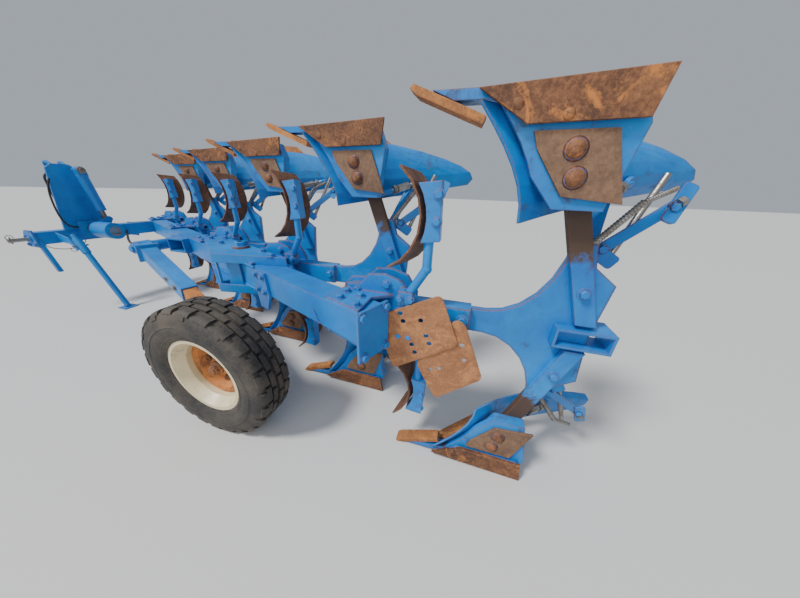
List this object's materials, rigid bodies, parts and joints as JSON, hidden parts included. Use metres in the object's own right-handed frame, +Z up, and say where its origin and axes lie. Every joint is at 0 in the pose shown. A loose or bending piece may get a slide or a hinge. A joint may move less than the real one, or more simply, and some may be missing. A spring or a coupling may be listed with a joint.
{
  "type": "mounted reversible plough",
  "caption": "Mounted reversible plough: a skewed beam carries mirrored sets of curved mouldboard bodies with skimmers, a turnover headstock with parking stand, and a swinging support wheel.",
  "frame": {"origin": "middle of the bounding box on the ground", "axes": "+X forward to the tractor, +Y left, +Z up"},
  "size_m": [5.1241, 2.109, 1.609],
  "materials": {
    "blue_paint": "weathered blue enamel, dusty, chipped to rust at edges",
    "worn_iron": "soil-worn steel with brown flash rust",
    "bare_steel": "greased and slightly rusted",
    "cream_paint": "faded cream enamel with rust stains",
    "tyre_rubber": "weathered tyre rubber with dried soil",
    "hose_rubber": "matte hose rubber"
  },
  "bodies": {
    "frame": {"main_beam": "blue_paint", "beam_gussets": "blue_paint", "gusset_webs": "blue_paint", "beam_end_plates": "blue_paint", "consoles": "blue_paint", "pivot_pins": "bare_steel", "carriers": "blue_paint", "legs": "blue_paint", "frogs": "blue_paint", "landsides": "worn_iron", "wear_plates": "worn_iron", "shares": "worn_iron", "points": "worn_iron", "mouldboards": "blue_paint", "shins": "blue_paint", "stays": "blue_paint", "skimmer_stems": "blue_paint", "skimmer_frogs": "blue_paint", "skimmer_boards": "worn_iron", "deflector_plates": "worn_iron", "rear_socket": "blue_paint", "turnover_housing": "blue_paint", "wheel_bracket": "blue_paint"},
    "headstock": {"headstock_beam": "blue_paint", "mast": "blue_paint", "turnover_shaft": "bare_steel", "hitch_pins": "bare_steel", "hoses": "hose_rubber", "stand_sleeve": "blue_paint"},
    "cylinder_barrel": {"cylinder_barrel": "blue_paint"},
    "cylinder_rod": {"cylinder_rod": "bare_steel"},
    "stand": {"stand_leg": "blue_paint"},
    "wheel_arm": {"wheel_arm": "blue_paint", "wheel_slide": "worn_iron", "wheel_axle": "bare_steel"},
    "wheel": {"rim": "cream_paint", "wheel_disc": "worn_iron", "tyre": "tyre_rubber"}
  },
  "joints": [
    {"name": "turnover", "type": "hinge", "parent": "frame", "child": "headstock", "pos_m": [2.087, -0.0645, 0.805], "axis": [1, 0, 0], "range_deg": [0, 180]},
    {"name": "cylinder_swing", "type": "hinge", "parent": "headstock", "child": "cylinder_barrel", "pos_m": [2.284, -0.1305, 1.395], "axis": [1, 0, 0], "range_deg": [-1, 27]},
    {"name": "cylinder_stroke", "type": "slide", "parent": "cylinder_barrel", "child": "cylinder_rod", "axis": [0, -0.0904, -0.9959], "range_m": [-0.047, 0.231]},
    {"name": "stand_height", "type": "slide", "parent": "headstock", "child": "stand", "axis": [0.4237, 0, 0.9058], "range_m": [0, 0.25]},
    {"name": "wheel_arm_swing", "type": "hinge", "parent": "frame", "child": "wheel_arm", "pos_m": [0.882, 0.3245, 0.805], "axis": [0, 1, 0], "range_deg": [0, 32.9]},
    {"name": "wheel_spin", "type": "hinge", "parent": "wheel_arm", "child": "wheel", "pos_m": [-0.513, 0.9455, 0.3925], "axis": [0, 1, 0], "continuous": true}
  ]
}
